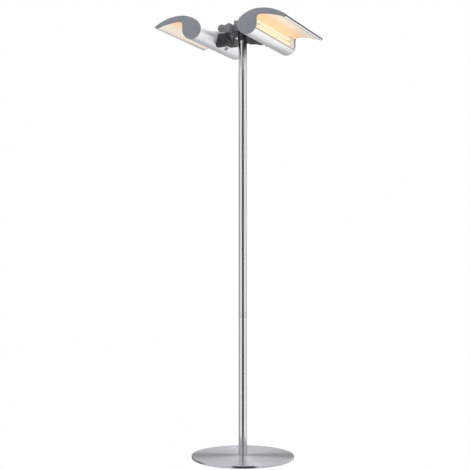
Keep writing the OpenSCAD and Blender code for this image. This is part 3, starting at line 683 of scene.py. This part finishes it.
def buildCap(y, depth, name, node):
    cap = {"edge": 0.0009, "wellRadius": 0.0039, "wellDepth": 0.0021, "overcut": 0.002}
    piece = fullOutline(y)
    edit(piece)
    bpy.ops.mesh.edge_face_add()
    bpy.ops.mesh.extrude_region_move(TRANSFORM_OT_translate={"value": (0, depth, 0)})
    bpy.ops.object.mode_set(mode="OBJECT")
    outwards(piece)
    finishMod(piece, "BEVEL", width=cap["edge"], segments=4, limit_method="ANGLE",
              angle_limit=math.radians(50))
    way = math.copysign(1, depth)
    for u, v in screwPlaces:
        bottom = (axisX + u, y + way * cap["wellDepth"], axisH + v)
        top = (axisX + u, y - way * cap["overcut"], axisH + v)
        cutAway(piece, rod(cap["wellRadius"], bottom, top))
    bothHeads(piece, name, node)


def thicken(piece, wall, way):
    # the drawn side stays where it is and the wall grows into the head
    finishMod(piece, "SOLIDIFY", thickness=wall, offset=way, use_even_offset=True)


def buildShell():
    shell = {"edge": 0.0003}
    lipU = arc["inner"].x - outline["lip"]
    roof, c = arc["ceiling"]
    lipAngle = math.degrees(math.acos((lipU - roof.x) / c))
    endAngle = math.degrees(math.asin(outline["troughLow"] / outline["barrel"]))
    tip = around(arc["wing"], arc["tipAngle"])
    moves = [
        (roof, arc["ceilingAngle"] - lipAngle),
        tuple(tip),
        (arc["wing"][0], 90 - arc["tipAngle"]),
        (arc["back"][0], arc["backAngle"] - 90),
        (Vector((0, 0)), 360 + endAngle - arc["backAngle"]),
    ]
    piece = trace(tuple(around(arc["ceiling"], lipAngle)), moves, shellFront)
    stretchAlong(piece, shellRear - shellFront)
    thicken(piece, outline["shell"], 1.0)
    finishMod(piece, "BEVEL", width=shell["edge"], segments=2, limit_method="ANGLE",
              angle_limit=math.radians(50))
    bothHeads(piece, "skin", "shell")


def buildReflector():
    sheet = {"gap": 0.0003, "edge": 0.0005, "lowIn": 0.0013, "edgeIn": 0.0004}
    lipU = arc["inner"].x - outline["lip"] - sheet["gap"]
    roof, c = arc["ceiling"]
    lipAngle = math.degrees(math.acos((lipU - roof.x) / c))
    cove, k = arc["cove"]
    troughBack = outline["barrel"] - outline["trough"]
    topV = outline["troughTop"]
    lowV = outline["troughLow"] + sheet["lowIn"]
    stopAngle = 180 - math.degrees(math.asin((topV - cove.y) / k))
    edgeU = math.sqrt(outline["barrel"] ** 2 - lowV ** 2) - sheet["edgeIn"]
    moves = [
        (roof, arc["coveAngle"] - lipAngle),
        (cove, stopAngle - arc["coveAngle"]),
        (troughBack, topV),
        (troughBack, lowV),
        (edgeU, lowV),
    ]
    piece = trace(tuple(around(arc["ceiling"], lipAngle)), moves, shellFront + sheet["gap"])
    stretchAlong(piece, shellRear - shellFront - 2 * sheet["gap"])
    thicken(piece, outline["sheet"], -1.0)
    finishMod(piece, "BEVEL", width=sheet["edge"], segments=3, limit_method="ANGLE",
              angle_limit=math.radians(50))
    bothHeads(piece, "reflector_sheet", "reflector")


buildCap(frontY, 0.004, "front_plate", "front_cap")
buildCap(rearY, -0.004, "rear_plate", "rear_cap")
buildShell()
buildReflector()
print("shells, caps and reflectors built")


def buildLamps():
    lamp = {"radius": 0.00875, "endRadius": 0.0055, "bridgeIn": 0.012, "bridgeSunk": 0.001}
    low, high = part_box("right_lamp_tube")
    radius = lamp["radius"]
    x = (low.x + high.x) / 2
    places = (low.z + radius, high.z - radius)
    tubes = []
    for z in places:
        tube = rod(radius, (x, low.y, z), (x, high.y, z), 64)
        settle(tube)
        selectEdges(tube, lambda a, b: max(a.y, b.y) < low.y + 0.0001)
        bpy.ops.mesh.bevel(offset=lamp["endRadius"], segments=7, affect="EDGES")
        bpy.ops.object.mode_set(mode="OBJECT")
        tubes.append(tube)
    bridgeY = low.y + lamp["bridgeIn"]
    reach = radius - lamp["bridgeSunk"]
    bridge = rod(radius / 2, (x, bridgeY, places[0] + reach), (x, bridgeY, places[1] - reach), 32)
    settle(bridge)
    pick(tubes[0])
    for part in (tubes[1], bridge):
        part.select_set(True)
    bpy.ops.object.join()
    bothHeads(bpy.context.object, "glass", "lamp_tube")


# how far each edge is rounded, and in how many steps
lampEdges = {
    "lamp_base": (0.001, 3),
    "lamp_holder": (0.001, 3),
    "lamp_clip": (0.0003, 2),
    "lip_trim": (0.0004, 2),
}

buildLamps()
for side in ("left", "right"):
    for part, (width, segments) in lampEdges.items():
        softened(side + "_" + part, side + "_head", width, segments)
print("lamps built")


# the body each piece rides on, how far its edges are rounded, and in how many steps
hubEdges = {
    "arm": ("hub", 0.0012, 3),
    "hinge_pin": ("hub", 0.0006, 2),
    "hinge_leaf": ("head", 0.0006, 2),
    "saddle": ("head", 0.0015, 3),
    "switch_frame": ("head", 0.0005, 2),
    "switch_rocker": ("switch", 0.0004, 2),
}

for node in ("hub_collar", "hub_housing", "hub_lid"):
    softened(node, "hub", 0.0012, 3)
for side in ("left", "right"):
    for part, (rides, width, segments) in hubEdges.items():
        body = rides if rides == "hub" else side + "_" + rides
        softened(side + "_" + part, body, width, segments)


capBolt = {"radius": 0.0036, "height": 0.0018, "shaft": 0.002, "length": 0.009, "sunk": 0.0003}
saddleBolt = {"radius": 0.0045, "height": 0.002, "shaft": 0.0025, "length": 0.033}
saddleBoltPlaces = {"below": 0.008, "topIn": 0.062, "topSpread": 0.030}


def buildScrews(name, node, body, heads, bolt):
    # domed heads with a hexagon socket: heads holds each head's face and the way in
    radius, height = bolt["radius"], bolt["height"]
    parts = []
    for face, inwards in heads:
        face, inwards = Vector(face), Vector(inwards)
        head = rod(radius, face, face + inwards * height, 40)
        settle(head)
        selectEdges(head, lambda a, b: max((a - face).dot(inwards), (b - face).dot(inwards)) < 0.0001)
        bpy.ops.mesh.bevel(offset=height * 0.45, segments=4, affect="EDGES")
        bpy.ops.object.mode_set(mode="OBJECT")
        cutAway(head, rod(radius * 0.5, face - inwards * 0.001, face + inwards * height * 0.6, 6))
        shaft = rod(bolt["shaft"], face + inwards * height * 0.9, face + inwards * bolt["length"], 32)
        parts += [head, settle(shaft)]
    pick(parts[0])
    for part in parts:
        part.select_set(True)
    bpy.ops.object.join()
    stand(settle(bpy.context.object), name, body, node)


for side, way in (("left", -1), ("right", 1)):
    capHeads = []
    for u, v in screwPlaces:
        x = way * (axisX + u)
        capHeads.append(((x, frontY + capBolt["sunk"], axisH + v), (0, 1, 0)))
        capHeads.append(((x, rearY - capBolt["sunk"], axisH + v), (0, -1, 0)))
    buildScrews(side + "_cap_bolts", side + "_cap_screws", side + "_head", capHeads, capBolt)
    low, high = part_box(side + "_saddle_screws")
    faceX = low.x if way > 0 else high.x
    saddleHeads = []
    places = saddleBoltPlaces
    for y in (low.y + saddleBolt["radius"], high.y - saddleBolt["radius"]):
        saddleHeads.append(((faceX, y, axisH - places["below"]), (way, 0, 0)))
    for y in (-places["topSpread"], places["topSpread"]):
        saddleHeads.append(((way * (axisX - places["topIn"]), y, high.z), (0, 0, -1)))
    buildScrews(side + "_saddle_bolts", side + "_saddle_screws", side + "_head", saddleHeads, saddleBolt)
print("hinge, hub, switches and screws built")


lead = {"radius": 0.0025, "points": [
    (13, -6, 18), (19, -9, 18), (25, -12, 16), (30, -15, 10.5), (32.5, -18, 2), (33, -21, -9),
    (33, -24, -19), (32.5, -28, -26), (32.5, -33, -28.5), (32.5, -38, -26), (33, -42, -19),
    (34.5, -45, -10), (38, -46, -2.5), (43, -46, 1.8), (49, -46, 2.5), (58, -46, 2.5),
    (68, -46, 2.5), (78, -46, 2.5), (84, -46, 2.5)]}


def buildLead(side, way):
    deselect()
    curve = bpy.data.curves.new(side + "_flex", "CURVE")
    curve.dimensions = "3D"
    curve.bevel_depth = lead["radius"]
    curve.bevel_resolution = 4
    curve.resolution_u = 5
    curve.use_fill_caps = True
    spline = curve.splines.new("NURBS")
    spline.points.add(len(lead["points"]) - 1)
    spline.order_u = 4
    spline.use_endpoint_u = True
    for point, (x, y, z) in zip(spline.points, lead["points"]):
        point.co = (way * x / 1000, y / 1000, axisH + z / 1000, 1)
    piece = bpy.data.objects.new(side + "_flex", curve)
    bpy.context.scene.collection.objects.link(piece)
    pick(piece)
    bpy.ops.object.convert(target="MESH")
    piece = bpy.context.object
    settle(piece, 50.0)
    piece.name = piece.data.name = side + "_flex"
    piece.data.materials.clear()
    piece.data.materials.append(materials["cable"])
    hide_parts(side + "_lead")
    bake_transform(piece)


buildLead("left", -1)
buildLead("right", 1)
print("leads built")


# the camera stands low and a little to the right of the heads' front
view = {"distance": 4.088, "height": 0.8375, "azimuth": 22.11, "lens": 75.98, "up": 1.084, "left": 0.4504}

studio = {
    "floorSeen": (1.0, 1.0, 1.0),
    "floorLit": (0.62, 0.62, 0.63),
    "sides": 1.10,
    "above": 1.25,
    "behind": 0.34,
    "shade": 0.04,
    "shadeShift": 0.05,
    "shadeReach": (0.38, 0.52),
    "backReach": (0.28, 0.50),
    "sideOn": (0.0, 0.3),
    "shadeTop": (0.55, 0.85),
    "backTop": (0.15, 0.40),
    "aboveReach": (0.3, 0.9),
    "lights": [
        # name, place, aimed at, size, power, colour
        ("keyLeft", (-3.2, -2.6, 2.4), (0, 0, 1.2), (1.6, 2.6), 34, (1, 1, 1)),
        ("fillRight", (3.2, -1.2, 2.0), (0, 0, 1.1), (1.4, 2.6), 26, (1, 1, 1)),
        ("overhead", (0.4, 0.3, 4.2), (0, 0, 1.0), (2.2, 2.2), 26, (1, 1, 1)),
    ],
}
turn = math.radians(view["azimuth"])


def buildFloor():
    deselect()
    bpy.ops.mesh.primitive_plane_add(size=1, location=(0, 0, -0.0005))
    floor = bpy.context.object
    floor.name = "floor"
    bpy.ops.transform.resize(value=(60, 60, 1), center_override=(0, 0, 0))
    bpy.ops.object.transform_apply(location=False, rotation=False, scale=True)
    g = Graph("pale floor", Roughness=0.9)
    speckle = g.noise(g.place(), 3.0, 3.0)
    pale = studio["floorLit"]
    g.set(Base_Color=g.blend(speckle, shade(*(c * 0.98 for c in pale)), shade(*pale)))
    white = g.node("ShaderNodeEmission", {}, {"Color": shade(*studio["floorSeen"])})
    seen = g.node("ShaderNodeLightPath", output="Is Camera Ray")
    mixed = g.node("ShaderNodeMixShader", {}, {0: seen, 1: Wire(g, g.shader.outputs[0]), 2: white})
    g.put(g.tree.nodes["Material Output"].inputs["Surface"], mixed)
    floor.data.materials.append(g.material)
    floor.visible_glossy = False


def buildWorld():
    # bright at both sides and above, grey behind the lamp and dark where the camera stands
    world = bpy.data.worlds.new("studio")
    bpy.context.scene.world = world
    world.use_nodes = True
    g = Graph.on(world.node_tree)
    x, y, z = g.axes(g.node("ShaderNodeTexCoord", output="Generated"))
    level = (x * x + y * y) ** 0.5 + 0.0001
    forward = (x * math.sin(turn) - y * math.cos(turn)) / level
    sideways = (x * math.cos(turn) + y * math.sin(turn)) / level
    shadow = 1 - abs(sideways - studio["shadeShift"]).step(*studio["shadeReach"])
    shaded = shadow * forward.step(*studio["sideOn"]) * (1 - z.step(*studio["shadeTop"]))
    behind = (0 - forward).step(*studio["sideOn"])
    back = behind * (1 - sideways.step(*studio["backReach"])) * (1 - z.step(*studio["backTop"]))
    high = z.step(*studio["aboveReach"])
    glowing = studio["sides"] + high * (studio["above"] - studio["sides"])
    glowing = glowing + back * (studio["behind"] - studio["sides"])
    glowing = glowing + shaded * (studio["shade"] - studio["sides"])
    seen = g.node("ShaderNodeLightPath", output="Is Camera Ray")
    strength = seen + (1 - seen) * glowing
    background = world.node_tree.nodes["Background"]
    background.inputs["Color"].default_value = shade(1, 1, 1)
    g.put(background.inputs["Strength"], strength)


buildFloor()
buildWorld()

for name, place, aim, size, power, colour in studio["lights"]:
    light = bpy.data.lights.new(name, "AREA")
    light.shape = "RECTANGLE"
    light.size, light.size_y = size
    light.energy = power
    light.color = colour
    lamp = bpy.data.objects.new(name, light)
    lamp.location = place
    lamp.rotation_euler = (Vector(aim) - Vector(place)).to_track_quat("-Z", "Y").to_euler()
    lamp.visible_glossy = name == "overhead"  # the others would draw hard lines down the pole
    bpy.context.scene.collection.objects.link(lamp)

camera = bpy.data.cameras.new("camera")
camera.lens = view["lens"]
camera.sensor_width = 36.0
camera.clip_end = 200.0
eye = bpy.data.objects.new("camera", camera)
eye.location = (view["distance"] * math.sin(turn), -view["distance"] * math.cos(turn), view["height"])
eye.rotation_euler = (math.radians(90 + view["up"]), 0, turn + math.radians(view["left"]))
bpy.context.scene.collection.objects.link(eye)
bpy.context.scene.camera = eye
bpy.context.scene.view_settings.view_transform = "Standard"
print("studio set")
